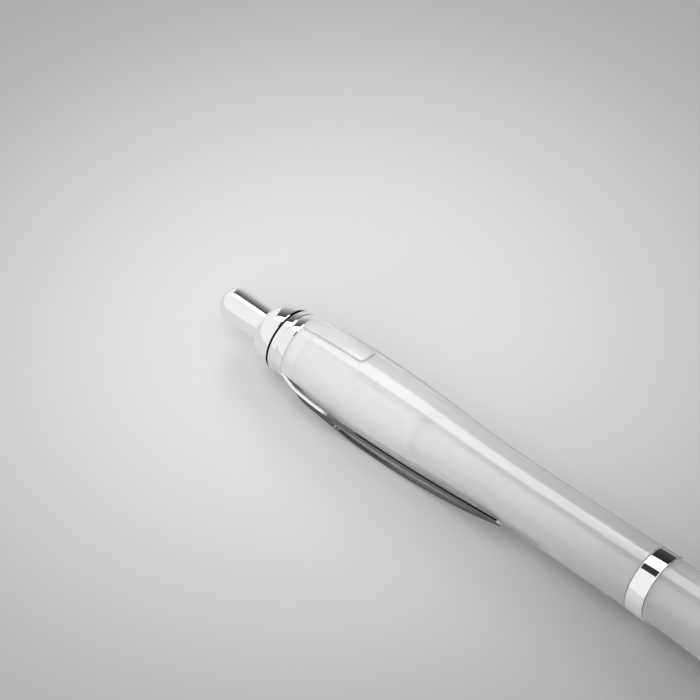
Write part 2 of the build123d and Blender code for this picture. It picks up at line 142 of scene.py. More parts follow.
def roundOff(bm, geom, width, segments, affect="EDGES", clamp=True):
    bmesh.ops.bevel(
        bm, geom=geom, offset=width, offset_type="OFFSET", affect=affect, segments=segments,
        profile=0.5, material=-1, clamp_overlap=clamp,
    )


def easeEdges(bm, width, segments=3, least=turning["sharp"], keep=None):  # rounds on sharp edges
    sharp = [e for e in bm.edges if len(e.link_faces) == 2 and e.calc_face_angle() > least]
    if keep:
        sharp = [e for e in sharp if keep(e)]
    roundOff(bm, sharp, width, segments)


def shadeSmooth(mesh):  # smooth faces, with the sharp edges kept
    for face in mesh.polygons:
        face.use_smooth = True
    mesh.set_sharp_from_angle(angle=turning["sharp"])


def newObject(name, bm):
    mesh = bpy.data.meshes.new(name)
    bm.to_mesh(mesh)
    bm.free()
    shadeSmooth(mesh)
    thing = bpy.data.objects.new(name, mesh)
    bpy.context.scene.collection.objects.link(thing)
    return thing


def fitPiece(thing, body, node, slotName, material=None):  # on its body, in its node's place
    thing.data.materials.clear()
    thing.data.materials.append(material or finishes[slotName])
    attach(thing, body)
    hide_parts(node)
    print("piece:", thing.name, "on", body, "for", node, len(thing.data.polygons), "faces")
    return thing


def combine(target, tool, operation):  # one boolean step, applied, with the tool taken away
    for thing in (target, tool):
        thing.data.transform(Matrix.Scale(1 / mm, 4))  # the solver works best in millimetres
    step = target.modifiers.new(operation, "BOOLEAN")
    step.operation = operation
    step.solver = "MANIFOLD"
    step.object = tool
    graph = bpy.context.evaluated_depsgraph_get()
    result = bpy.data.meshes.new_from_object(target.evaluated_get(graph))
    target.modifiers.clear()
    target.data = result
    bpy.data.objects.remove(tool)
    result.transform(Matrix.Scale(mm, 4))
    shadeSmooth(result)


# shader groups that several finishes share
def newGroup(name, inputs, outputs):
    tree = bpy.data.node_groups.new(name, "ShaderNodeTree")
    for label, value in inputs:
        socket = tree.interface.new_socket(label, in_out="INPUT", socket_type="NodeSocketFloat")
        socket.default_value = value
    for label in outputs:
        tree.interface.new_socket(label, in_out="OUTPUT", socket_type="NodeSocketFloat")
    return tree, tree.nodes.new("NodeGroupInput").outputs, tree.nodes.new("NodeGroupOutput").inputs


def addNode(tree, kind, **settings):
    node = tree.nodes.new(kind)
    for key, value in settings.items():
        setattr(node, key, value)
    return node


def feed(tree, socket, value):  # another node's output or a plain value; a colour gets its alpha
    if isinstance(value, bpy.types.NodeSocket):
        tree.links.new(value, socket)
    elif socket.type == "RGBA":
        socket.default_value = (*value, 1)
    else:
        socket.default_value = value


def maths(tree, operation, first, second):
    node = addNode(tree, "ShaderNodeMath", operation=operation)
    feed(tree, node.inputs[0], first)
    feed(tree, node.inputs[1], second)
    return node.outputs[0]


def stretched(tree, scale=(1, 1, 1)):  # object coordinates, plain or drawn out along an axis
    spot = addNode(tree, "ShaderNodeTexCoord")
    mapping = addNode(tree, "ShaderNodeMapping")
    mapping.inputs["Scale"].default_value = scale
    tree.links.new(spot.outputs["Object"], mapping.inputs["Vector"])
    return mapping.outputs["Vector"]


def spotParts(tree):  # object coordinates one by one
    parts = addNode(tree, "ShaderNodeSeparateXYZ")
    tree.links.new(stretched(tree), parts.inputs["Vector"])
    return parts.outputs


def noise(tree, vector, scale, detail, roughness=0.5):
    node = addNode(tree, "ShaderNodeTexNoise")
    values = {"Vector": vector, "Scale": scale, "Detail": detail, "Roughness": roughness}
    for label, value in values.items():
        feed(tree, node.inputs[label], value)
    return node.outputs["Fac"]


def remap(tree, value, low, high, toLow=0.0, toHigh=1.0, soft=False):
    node = addNode(tree, "ShaderNodeMapRange", clamp=True)
    if soft:
        node.interpolation_type = "SMOOTHSTEP"
    values = {"Value": value, "From Min": low, "From Max": high, "To Min": toLow, "To Max": toHigh}
    for label, number in values.items():
        feed(tree, node.inputs[label], number)
    return node.outputs["Result"]


def makeHandlingMarks():  # smudges from fingers and hairline rubs along the pen
    marks = {
        "smudgeDetail": 5, "smudgeRough": 0.6, "smudgeFrom": (0.46, 0.72),
        "hairs": 5200, "hairDetail": 2, "hairDraw": (0.04, 1, 1), "hairFrom": (0.56, 0.74),
        "patches": 420, "patchDetail": 3, "patchFrom": (0.48, 0.62),
    }
    tree, given, put = newGroup(
        "handlingMarks", (("Scale", 150.0), ("Smudge", 0.5), ("Rub", 0.5)), ("Haze", "Height")
    )
    even = stretched(tree)
    cloud = noise(tree, even, given["Scale"], marks["smudgeDetail"], marks["smudgeRough"])
    smudge = remap(tree, cloud, *marks["smudgeFrom"])
    tree.links.new(maths(tree, "MULTIPLY", smudge, given["Smudge"]), put["Haze"])
    drawn = stretched(tree, marks["hairDraw"])
    hairs = remap(tree, noise(tree, drawn, marks["hairs"], marks["hairDetail"]), *marks["hairFrom"])
    spots = noise(tree, even, marks["patches"], marks["patchDetail"])
    rubs = maths(tree, "MULTIPLY", hairs, remap(tree, spots, *marks["patchFrom"]))
    tree.links.new(maths(tree, "MULTIPLY", rubs, given["Rub"]), put["Height"])
    return tree


def makeMouldedSkin():  # flow marks and the faint unevenness of a moulded face
    mould = {
        "flowDraw": (0.25, 1, 1), "flowDetail": 3, "flowRough": 0.55, "flowFrom": (0.3, 0.7),
        "peel": 3800, "peelDetail": 2, "peelShare": 0.25,
    }
    tree, given, put = newGroup("mouldedSkin", (("Scale", 260.0),), ("Tone", "Height"))
    drawn = stretched(tree, mould["flowDraw"])
    flow = noise(tree, drawn, given["Scale"], mould["flowDetail"], mould["flowRough"])
    tree.links.new(remap(tree, flow, *mould["flowFrom"]), put["Tone"])
    peel = noise(tree, stretched(tree), mould["peel"], mould["peelDetail"])
    uneven = maths(tree, "ADD", maths(tree, "MULTIPLY", peel, mould["peelShare"]), flow)
    tree.links.new(uneven, put["Height"])
    return tree


def makeTurnedLines():  # fine rings left by turning or drawing, square to the pen
    lines = {"Distortion": 1.5, "Detail": 3}
    tree, given, put = newGroup("turnedLines", (("Rings", 900.0),), ("Shade",))
    wave = addNode(
        tree, "ShaderNodeTexWave", wave_type="BANDS", bands_direction="X", wave_profile="SIN"
    )
    tree.links.new(stretched(tree), wave.inputs["Vector"])
    tree.links.new(given["Rings"], wave.inputs["Scale"])
    for label, value in lines.items():
        wave.inputs[label].default_value = value
    tree.links.new(wave.outputs["Fac"], put["Shade"])
    return tree


groups = {
    "marks": makeHandlingMarks(),
    "skin": makeMouldedSkin(),
    "rings": makeTurnedLines(),
}


def placeGroup(tree, name, **values):
    node = addNode(tree, "ShaderNodeGroup")
    node.node_tree = groups[name]
    for label, value in values.items():
        node.inputs[label].default_value = value
    return node.outputs


def newFinish(name, values):  # a material with one Principled shader and its plain values
    material = bpy.data.materials.new(name)
    material.use_nodes = True
    shader = material.node_tree.nodes["Principled BSDF"]
    for label, value in values.items():
        shader.inputs[label].default_value = value
    return material, material.node_tree, shader


def blendColors(tree, factor, first, second):
    node = addNode(tree, "ShaderNodeMix", data_type="RGBA")
    for label, value in {"Factor": factor, "A": first, "B": second}.items():
        feed(tree, node.inputs[label], value)
    return node.outputs["Result"]


def setGloss(tree, shader, haze, clear, dull):  # roughness where clear and where hazed
    tree.links.new(remap(tree, haze, 0, 1, clear, dull), shader.inputs["Roughness"])


def addBump(tree, shader, height, distance):
    bump = addNode(tree, "ShaderNodeBump")
    bump.inputs["Distance"].default_value = distance
    bump.inputs["Strength"].default_value = 1.0
    tree.links.new(height, bump.inputs["Height"])
    tree.links.new(bump.outputs["Normal"], shader.inputs["Normal"])


def inSeam(tree, start, width, top, fade):  # 1 below a radius inside one groove round the pen, else 0
    spot = spotParts(tree)
    aside = [maths(tree, "SUBTRACT", spot["Y"], axisY), maths(tree, "SUBTRACT", spot["Z"], axisZ)]
    squares = [maths(tree, "MULTIPLY", value, value) for value in aside]
    radius = maths(tree, "SQRT", maths(tree, "ADD", *squares), 0)
    past = maths(tree, "GREATER_THAN", spot["X"], start)
    before = maths(tree, "LESS_THAN", spot["X"], start + width)
    deep = remap(tree, radius, top - fade, top, 1, 0)
    return maths(tree, "MULTIPLY", maths(tree, "MULTIPLY", past, before), deep)


def makeChrome(name="chromePlate", seam=None, shadedFaces=None):
    look = {
        # the darkest colour on the next line is painted shade down in a groove
        "clean": (0.86, 0.865, 0.875), "hazed": (0.8, 0.805, 0.815), "grime": (0.14, 0.14, 0.14),
        # the first colour on the next line is painted shade for the clip's sideways faces
        "sideShade": (0.13, 0.13, 0.135), "gloss": 0.045, "hazeGloss": 0.16, "bump": 0.002 * mm,
    }
    material, tree, shader = newFinish(name, {"Metallic": 1.0})
    marks = placeGroup(tree, "marks", Scale=190, Smudge=0.6, Rub=0.5)
    color = blendColors(tree, marks["Haze"], look["clean"], look["hazed"])
    if seam:  # painted shade down in a groove
        color = blendColors(tree, inSeam(tree, **seam), color, look["grime"])
    if shadedFaces:  # painted shade on the clip's sideways faces, marked on the faces
        mark = addNode(tree, "ShaderNodeAttribute", attribute_name=shadedFaces)
        color = blendColors(tree, mark.outputs["Fac"], color, look["sideShade"])
    tree.links.new(color, shader.inputs["Base Color"])
    setGloss(tree, shader, marks["Haze"], look["gloss"], look["hazeGloss"])
    addBump(tree, shader, marks["Height"], look["bump"])
    return material


def makeClearPlastic():  # its colour is darkened along the pen towards the ring, a painted shade
    look = {
        "thin": (1.0, 1.0, 1.0), "milky": (0.98, 0.982, 0.985), "deep": (0.72, 0.72, 0.725),
        "shadeAlongPen": (-0.032, 0.014), "gloss": 0.12, "dull": 0.2, "bump": 0.006 * mm,
    }
    material, tree, shader = newFinish("clearMilkyPlastic", {
        "IOR": 1.45, "Transmission Weight": 0.52,
        "Coat Weight": 0.8, "Coat Roughness": 0.05, "Coat IOR": 1.5,
    })
    skin = placeGroup(tree, "skin", Scale=210)
    marks = placeGroup(tree, "marks", Scale=120, Smudge=0.5, Rub=0.4)
    tone = blendColors(tree, skin["Tone"], look["thin"], look["milky"])
    # painted shade: the colour darkens along the pen towards the ring
    depth = remap(tree, spotParts(tree)["X"], *look["shadeAlongPen"])
    tree.links.new(blendColors(tree, depth, tone, look["deep"]), shader.inputs["Base Color"])
    setGloss(tree, shader, marks["Haze"], look["gloss"], look["dull"])
    addBump(tree, shader, maths(tree, "ADD", skin["Height"], marks["Height"]), look["bump"])
    return material


def makeAcetal():
    look = {
        "pale": (0.92, 0.92, 0.91), "deep": (0.86, 0.86, 0.85), "gloss": 0.34, "dull": 0.46,
        "bump": 0.01 * mm,
    }
    material, tree, shader = newFinish("whiteAcetal", {"IOR": 1.48})
    skin = placeGroup(tree, "skin", Scale=340)
    color = blendColors(tree, skin["Tone"], look["pale"], look["deep"])
    tree.links.new(color, shader.inputs["Base Color"])
    setGloss(tree, shader, skin["Tone"], look["gloss"], look["dull"])
    addBump(tree, shader, skin["Height"], look["bump"])
    return material


def makeTurnedMetal(name, bright, dull, gloss, ringsPerMetre):
    look = {"hazeMore": 0.15, "bump": 0.003 * mm}
    material, tree, shader = newFinish(name, {"Metallic": 1.0})
    rings = placeGroup(tree, "rings", Rings=ringsPerMetre)
    marks = placeGroup(tree, "marks", Scale=260, Smudge=0.5, Rub=0.3)
    tree.links.new(blendColors(tree, rings["Shade"], bright, dull), shader.inputs["Base Color"])
    setGloss(tree, shader, marks["Haze"], gloss, gloss + look["hazeMore"])
    addBump(tree, shader, rings["Shade"], look["bump"])
    return material


def makeInk():
    look = {"deep": (0.012, 0.016, 0.07), "thin": (0.02, 0.03, 0.12)}
    material, tree, shader = newFinish("ballpointInk", {"IOR": 1.45, "Roughness": 0.12})
    skin = placeGroup(tree, "skin", Scale=180)
    color = blendColors(tree, skin["Tone"], look["deep"], look["thin"])
    tree.links.new(color, shader.inputs["Base Color"])
    return material


finishes = {
    "chrome_plate": makeChrome(),
    "clear_plastic": makeClearPlastic(),
    "white_acetal": makeAcetal(),
    "refill_steel": makeTurnedMetal("refillSteel", (0.7, 0.71, 0.72), (0.62, 0.63, 0.64), 0.3, 700),
    "ink": makeInk(),
    "tip_metal": makeTurnedMetal("tipNickelSilver", (0.8, 0.77, 0.7), (0.7, 0.67, 0.6), 0.18, 2100),
    "carbide": makeTurnedMetal("ballCarbide", (0.5, 0.5, 0.52), (0.44, 0.44, 0.46), 0.08, 2600),
    "spring_wire": makeTurnedMetal("springWire", (0.68, 0.69, 0.7), (0.58, 0.59, 0.6), 0.2, 1500),
}
print("finishes:", ", ".join(finishes))

for part in frame["record"]["subparts"]:  # the solids that stay in view inside the pen
    mesh = frame["nodes"][part["node"]].data
    mesh.materials.clear()
    mesh.materials.append(finishes[part["material_slot"]])

# push button
button = {
    "radius": 2.85 * mm, "dome": 2.7 * mm, "flange": 0.8 * mm, "wall": 0.7 * mm,
    "edge": 0.07 * mm, "easeFrom": math.radians(50), "domeSteps": 24,
}


def makeButton():
    tip, end, flangeRadius = spanOf("push_button")
    rim = (button["radius"], button["dome"])
    dome = [(tip + x, r) for r, x in bow((0, 0), rim, button["domeSteps"])]
    bore = button["radius"] - button["wall"]
    rest = [
        (end - button["flange"], button["radius"]),
        (end - button["flange"], flangeRadius),
        (end, flangeRadius),
        (end, bore),
        (tip + button["dome"], bore),
        (tip + button["dome"], 0),
    ]
    bm = spunMesh(dome + rest, closed=False)
    easeEdges(bm, button["edge"], least=button["easeFrom"])
    fitPiece(newObject("buttonCap", bm), "button", "push_button", "chrome_plate")


makeButton()

# collar with its bell, groove and spigot
collar = {
    "bell": 3.8 * mm, "lip": 0.32 * mm, "bore": 2.93 * mm, "stop": 2.8 * mm, "innerBore": 3.93 * mm,
    "groove": 0.35 * mm, "grooveDepth": 0.85 * mm, "spigot": 4.53 * mm,
    "edge": 0.02 * mm, "easeFrom": math.radians(50), "bellSteps": 28,
    "grooveShadePast": 0.01 * mm, "grooveShadeTop": 0.04 * mm, "grooveShadeFade": 0.12 * mm,
}


def makeCollar():
    mouth, end, bellRadius = spanOf("collar")
    groove = mouth + collar["bell"]
    lip = collar["bore"] + collar["lip"]
    bell = [
        (groove - collar["bell"] * math.cos(a), lip + (bellRadius - lip) * math.sin(a))
        for a in spread(0, math.pi / 2, collar["bellSteps"])
    ]
    rest = [
        (groove, bellRadius - collar["grooveDepth"]),
        (groove + collar["groove"], bellRadius - collar["grooveDepth"]),
        (groove + collar["groove"], collar["spigot"]),
        (end, collar["spigot"]),
        (end, collar["innerBore"]),
        (mouth + collar["stop"], collar["innerBore"]),
        (mouth + collar["stop"], collar["bore"]),
        (mouth, collar["bore"]),
    ]
    bm = spunMesh(bell + rest)
    easeEdges(bm, collar["edge"], least=collar["easeFrom"])
    # the groove's painted shade: chrome darkened below the bell's surface inside the groove, standing in for the
    # shadow there
    seam = {
        "start": groove - collar["grooveShadePast"], "width": collar["groove"] + 2 * collar["grooveShadePast"],
        "top": bellRadius - collar["grooveShadeTop"], "fade": collar["grooveShadeFade"],
    }
    plate = makeChrome("chromeCollar", seam)
    fitPiece(newObject("collarBell", bm), "barrel", "collar", "chrome_plate", plate)


makeCollar()

# band that carries the clip, with a fine turned line
band = {
    "bore": 4.55 * mm, "flare": 0.175 * mm, "edge": 0.04 * mm, "easeFrom": math.radians(76),
    "lineAt": 0.38, "line": 0.1 * mm, "lineDepth": 0.07 * mm,
}


def makeBand():
    start, end, radius = spanOf("clip_band")
    middle = start + (end - start) * band["lineAt"]
    level = radius - band["flare"] * (1 - band["lineAt"])
    side = [
        (start, band["bore"]),
        (start, radius - band["flare"]),
        (middle - band["line"], level),
        (middle, level - band["lineDepth"]),
        (middle + band["line"], level),
        (end, radius),
        (end, band["bore"]),
    ]
    bm = spunMesh(side)
    easeEdges(bm, band["edge"], least=band["easeFrom"])
    fitPiece(newObject("clipBandRing", bm), "barrel", "clip_band", "chrome_plate")


makeBand()

# upper barrel with its raised pad and the notch for the clip
upper = {
    "mouth": 5.35 * mm, "swell": 6.0 * mm, "waist": 4.98 * mm, "end": 5.1 * mm,
    "swellAt": 12.8 * mm, "waistAt": 42.0 * mm, "bore": 4.55 * mm, "threadBore": 4.2 * mm,
    "stepAt": 24.8 * mm, "lineAt": 2.5 * mm, "line": 0.15 * mm, "lineDepth": 0.13 * mm,
    "edge": 0.09 * mm, "easeFrom": math.radians(76),
    "mouthCuts": 26, "middleCuts": 20, "endCuts": 24,
}
pad = {
    "length": 11.8 * mm, "width": 3.4 * mm, "raise": 0.5 * mm, "sunk": 0.25 * mm,
    "corner": 0.5 * mm, "cornerSteps": 8, "edge": 0.14 * mm, "edgeSteps": 4,
    "rimFrom": math.radians(60), "fromClip": math.radians(124.8), "cuts": (24, 12),
}
notch = {"half": 1.85 * mm, "length": 5.0 * mm, "tall": 10 * mm, "edge": 0.3 * mm, "edgeSteps": 5}
upperStart, upperEnd = startOf("upper_barrel"), endOf("upper_barrel")


def upperCurve():  # outer side of the upper barrel, from mouth to ring
    mouth = (upperStart, upper["mouth"])
    swell = (upperStart + upper["swellAt"], upper["swell"])
    waist = (upperStart + upper["waistAt"], upper["waist"])
    end = (upperEnd, upper["end"])
    middle = halfway(swell, waist)
    rear = bowBack(swell, mouth, upper["mouthCuts"]) + bow(swell, middle, upper["middleCuts"])
    return rear + bowBack(waist, middle, upper["middleCuts"]) + bow(waist, end, upper["endCuts"])


def makePadBlank(curve):  # a rounded plate wrapped on the barrel, to be joined to it
    bm = bmesh.new()
    middle = upperStart + pad["length"] / 2
    bmesh.ops.create_grid(bm, x_segments=1, y_segments=1, size=0.5)
    bmesh.ops.scale(bm, vec=(pad["length"], pad["width"], 1), verts=bm.verts)
    roundOff(bm, bm.verts[:], pad["corner"], pad["cornerSteps"], affect="VERTICES", clamp=False)
    for axis, span, cuts in ((0, pad["length"], pad["cuts"][0]), (1, pad["width"], pad["cuts"][1])):
        normal = Vector((axis == 0, axis == 1, 0))
        for i in range(1, cuts):
            place = normal * (span * (i / cuts - 0.5))
            whole = bm.verts[:] + bm.edges[:] + bm.faces[:]
            bmesh.ops.bisect_plane(bm, geom=whole, plane_co=place, plane_no=normal)
    turn = clipTurn - pad["fromClip"]
    for vert in bm.verts:
        x = middle + vert.co.x
        radius = radiusAt(curve, x) + pad["raise"]
        vert.co = placed(x, radius, turn - math.asin(vert.co.y / radius))
    bmesh.ops.recalc_face_normals(bm, faces=bm.faces)
    bmesh.ops.solidify(bm, geom=bm.faces[:], thickness=pad["raise"] + pad["sunk"])
    bmesh.ops.recalc_face_normals(bm, faces=bm.faces)

    def onTop(vert):
        return fromAxis(vert) > radiusAt(curve, vert.co.x) + pad["raise"] / 2

    rim = [e for e in bm.edges if e.calc_face_angle(0) > pad["rimFrom"] and all(map(onTop, e.verts))]
    roundOff(bm, rim, pad["edge"], pad["edgeSteps"])
    return newObject("padBlank", bm)


def makeNotchCutter():
    bm = bmesh.new()
    bmesh.ops.create_cube(bm, size=1)
    bmesh.ops.scale(bm, vec=(notch["length"] * 2, notch["half"] * 2, notch["tall"]), verts=bm.verts)
    upright = [e for e in bm.edges if abs(e.verts[0].co.z - e.verts[1].co.z) > notch["tall"] / 2]
    roundOff(bm, upright, notch["edge"], notch["edgeSteps"], clamp=False)
    place = Vector((upperStart, axisY, axisZ)) + clipOut * (notch["tall"] / 2)
    bmesh.ops.transform(bm, matrix=onClip(place), verts=bm.verts)
    return newObject("notchCutter", bm)


def withLine(curve):  # the outline with a fine groove near the mouth
    middle = upperStart + upper["lineAt"]
    edges = [middle - upper["line"], middle + upper["line"]]
    before = [p for p in curve if p[0] < edges[0]]
    after = [p for p in curve if p[0] > edges[1]]
    first, last = [(x, radiusAt(curve, x)) for x in edges]
    return before + [first, (middle, radiusAt(curve, middle) - upper["lineDepth"]), last] + after


def makeUpperBarrel():
    curve = upperCurve()
    step = upperStart + upper["stepAt"]
    inside = [
        (upperEnd, upper["threadBore"]),
        (step, upper["threadBore"]),
        (step, upper["bore"]),
        (upperStart, upper["bore"]),
    ]
    bm = spunMesh(withLine(curve) + inside)
    easeEdges(bm, upper["edge"], least=upper["easeFrom"])
    barrel = newObject("barrelUpper", bm)
    combine(barrel, makePadBlank(curve), "UNION")
    combine(barrel, makeNotchCutter(), "DIFFERENCE")
    fitPiece(barrel, "barrel", "upper_barrel", "clear_plastic")


makeUpperBarrel()

# pocket clip, stamped from strip
clip = {
    "thick": 0.42 * mm, "half": 3.5 * mm, "rootHalf": 1.75 * mm, "tipHalf": 1.2 * mm,
    "rootLength": 5.4 * mm, "apexAt": 17.3 * mm, "bendAt": 4.6 * mm, "bendDrop": 0.6 * mm,
    "rootSlope": 0.3, "apex": 7.05 * mm, "root": 5.25 * mm, "tip": 5.5 * mm, "rail": 1.15 * mm,
    "slotFrom": 11.2 * mm, "slotEndGap": 4.6 * mm, "slotStartHalf": 1.5 * mm,
    "slotEndHalf": 0.8 * mm, "slotRound": 0.5 * mm, "nibTurn": math.radians(76),
    "edge": 0.19 * mm, "edgeSteps": 5, "easeFrom": math.radians(60),
    "sideShadeTurn": (0.6, 0.9), "sideShadeFade": 1.5 * mm,
    "rootCuts": 12, "riseCuts": 16, "fallCuts": 30, "swellCuts": 10, "taperCuts": 22,
    "roundCuts": 6, "slotCuts": (8, 16), "apart": 0.02 * mm,
}
clipStart, clipEnd = startOf("pocket_clip"), endOf("pocket_clip")


def clipHeight():  # outer face of the clip from root to tip, seen from the side
    apex = (upperStart + clip["apexAt"], clip["apex"])
    bend = (upperStart + clip["bendAt"], clip["apex"] - clip["bendDrop"])
    rising = bowBack(apex, bend, clip["riseCuts"])
    slope = (rising[1][1] - rising[0][1]) / (rising[1][0] - rising[0][0])
    length = bend[0] - clipStart
    lift = []
    for t in spread(0, 1, clip["rootCuts"]):  # cubic from the band's slope to the bow's
        h = (2 * t**3 - 3 * t**2 + 1) * clip["root"] + (3 * t**2 - 2 * t**3) * bend[1]
        h += (t**3 - 2 * t**2 + t) * length * clip["rootSlope"] + (t**3 - t**2) * length * slope
        lift.append((clipStart + length * t, h))
    return lift + rising[1:] + bow(apex, (clipEnd, clip["tip"]), clip["fallCuts"])[1:]


def clipSide():  # half-width of the clip from root to tip, seen square on
    straight = (upperStart + clip["rootLength"], clip["rootHalf"])
    broad = (upperStart + clip["apexAt"], clip["half"])
    nib = (clipEnd - clip["tipHalf"], clip["tipHalf"])
    middle = halfway(straight, broad)
    root = [(clipStart, clip["rootHalf"])]
    swell = bow(straight, middle, clip["swellCuts"]) + bowBack(broad, middle, clip["swellCuts"])
    turns = spread(0, clip["nibTurn"], clip["roundCuts"])
    tip = [(nib[0] + clip["tipHalf"] * math.sin(a), clip["tipHalf"] * math.cos(a)) for a in turns]
    return root + swell + bow(broad, nib, clip["taperCuts"])[1:] + tip[1:]


def slotSide():  # half-width of the slot from its start to its end
    start = (upperStart + clip["slotFrom"], clip["slotStartHalf"])
    wide = (upperStart + clip["apexAt"], clip["half"] - clip["rail"])
    end = (clipEnd - clip["slotEndGap"], clip["slotEndHalf"])
    turns = spread(0, math.pi / 2, clip["roundCuts"])
    r = clip["slotRound"]
    first = [(start[0] + r * (1 - math.cos(a)), start[1] - r * (1 - math.sin(a))) for a in turns]
    body = bowBack(wide, start, clip["slotCuts"][0]) + bow(wide, end, clip["slotCuts"][1])[1:]
    body = [p for p in body if first[-1][0] < p[0] < end[0] - r]
    last = [(end[0] - r * (1 - math.sin(a)), end[1] - r * (1 - math.cos(a))) for a in turns]
    return first + body + last


def markSideShade(bm, name):  # painted shade on faces that look sideways along the slot, a dark reflection put into their colour
    sideShade = bm.faces.layers.float.new(name)
    low, high = clip["sideShadeTurn"]
    first = upperStart + clip["slotFrom"] - clip["sideShadeFade"]
    for face in bm.faces:
        share = min(max((abs(face.normal.y) - low) / (high - low), 0), 1)
        past = min(max((face.calc_center_median().x - first) / clip["sideShadeFade"], 0), 1)
        face[sideShade] = share * share * (3 - 2 * share) * past


def makeClip():
    heights, sides, slot = clipHeight(), clipSide(), slotSide()
    places = sorted({round(p[0], 8) for p in heights + sides + slot})
    places = [x for i, x in enumerate(places) if i == 0 or x - places[i - 1] > clip["apart"]]
    columns, rows = len(places) - 1, 4  # a rail, the slot's two halves and a rail
    bm = bmesh.new()
    bmesh.ops.create_grid(bm, x_segments=columns, y_segments=rows, size=0.5)
    for vert in bm.verts:
        x = places[round((vert.co.x + 0.5) * columns)]
        half = radiusAt(sides, x)
        inner = radiusAt(slot, x) if slot[0][0] <= x <= slot[-1][0] else half / 2
        across = (-half, -inner, 0, inner, half)[round((vert.co.y + 0.5) * rows)]
        vert.co = (x, across, radiusAt(heights, x))
    middles = [(f, f.calc_center_median()) for f in bm.faces]
    inSlot = [(f, c) for f, c in middles if slot[0][0] < c.x < slot[-1][0]]
    hole = [f for f, c in inSlot if abs(c.y) < radiusAt(slot, c.x)]
    bmesh.ops.delete(bm, geom=hole, context="FACES")
    bmesh.ops.recalc_face_normals(bm, faces=bm.faces)
    if sum(f.normal.z for f in bm.faces) < 0:
        bmesh.ops.reverse_faces(bm, faces=bm.faces)
    bmesh.ops.solidify(bm, geom=bm.faces[:], thickness=clip["thick"])
    bmesh.ops.recalc_face_normals(bm, faces=bm.faces)
    easeEdges(bm, clip["edge"], clip["edgeSteps"], least=clip["easeFrom"])
    # painted shade: the sideways faces are marked to be darkened in the chrome
    markSideShade(bm, "sideShadeMark")
    bmesh.ops.transform(bm, matrix=onClip(onAxis), verts=bm.verts)
    plate = makeChrome("chromeClip", shadedFaces="sideShadeMark")
    fitPiece(newObject("clipArm", bm), "clip", "pocket_clip", "chrome_plate", plate)


makeClip()

# ring at the waist
ring = {"bore": 4.2 * mm, "edge": 0.25 * mm, "edgeSteps": 5}


def makeWaistRing():
    start, end, radius = spanOf("waist_ring")
    bm = spunMesh([(start, ring["bore"]), (start, radius), (end, radius), (end, ring["bore"])])
    middle = (radius + ring["bore"]) / 2
    easeEdges(bm, ring["edge"], ring["edgeSteps"], keep=lambda e: fromAxis(e.verts[0]) > middle)
    fitPiece(newObject("waistRingBand", bm), "ring", "waist_ring", "chrome_plate")


makeWaistRing()

# front barrel with its threaded stub
front = {
    "shoulder": 5.0 * mm, "grip": 6.0 * mm, "rim": 4.62 * mm, "gripAt": 22.5 * mm, "bore": 3.5 * mm,
    "stub": 4.15 * mm, "noseHole": 3.67 * mm, "noseDepth": 8.0 * mm, "gap": 0.05 * mm,
    "edge": 0.09 * mm, "easeFrom": math.radians(60), "shoulderCuts": 16, "gripCuts": 24,
}
thread = {
    "pitch": 1.0 * mm, "depth": 0.24 * mm, "turns": 4, "from": 1.2 * mm, "crest": 0.2 * mm,
    "flank": 0.35, "sunk": 0.05 * mm, "steps": 72,
}


def addThread(bm, start, core):  # one ridge wound round the stub
    sunk, crest = core - thread["sunk"], core + thread["depth"]
    half, flat = thread["pitch"] * thread["flank"], thread["crest"] / 2
    profile = [(start - half, sunk), (start - flat, crest), (start + flat, crest), (start + half, sunk)]
    face = bm.faces.new([bm.verts.new(placed(x, r, turning["from"])) for x, r in profile])
    bmesh.ops.spin(
        bm, geom=[face], cent=onAxis, axis=alongPen, angle=math.tau * thread["turns"],
        steps=thread["steps"] * thread["turns"], dvec=(thread["pitch"] / thread["steps"], 0, 0),
        use_merge=False,
    )
    bmesh.ops.recalc_face_normals(bm, faces=bm.faces)


def makeFrontBarrel():
    stubStart, frontEnd = startOf("front_barrel"), endOf("front_barrel")
    frontStart = endOf("waist_ring") + front["gap"]
    shoulder = (frontStart, front["shoulder"])
    grip = (frontStart + front["gripAt"], front["grip"])
    rim = (frontEnd, front["rim"])
    middle = halfway(shoulder, grip)
    cuts = front["shoulderCuts"]
    curve = bow(shoulder, middle, cuts) + bowBack(grip, middle, cuts) + bow(grip, rim, front["gripCuts"])
    threadStart = stubStart + thread["from"]
    threadEnd = threadStart + thread["pitch"] * (thread["turns"] + 1)
    core = front["stub"] - thread["depth"]
    seat = frontEnd - front["noseDepth"]
    rest = [
        (frontEnd, front["noseHole"]),
        (seat, front["noseHole"]),
        (seat, front["bore"]),
        (stubStart, front["bore"]),
        (stubStart, core),
        (threadEnd, core),
        (threadEnd + thread["depth"], front["stub"]),
        (frontStart, front["stub"]),
    ]
    bm = spunMesh(curve + rest)
    easeEdges(bm, front["edge"], least=front["easeFrom"])
    addThread(bm, threadStart, core)
    fitPiece(newObject("barrelFront", bm), "front", "front_barrel", "clear_plastic")


makeFrontBarrel()

# nose cone
nose = {
    "base": 4.62 * mm, "mouth": 1.78 * mm, "bulge": 0.5 * mm, "spigot": 3.65 * mm,
    "spigotLength": 8.0 * mm, "bore": 3.15 * mm, "springBore": 2.53 * mm, "neckBore": 1.7 * mm,
    "mouthBore": 1.28 * mm, "boreStep": 11.2 * mm, "springSeat": 7.0 * mm, "mouthLand": 2.0 * mm,
    "edge": 0.12 * mm, "easeFrom": math.radians(50), "arcSteps": 32,
}


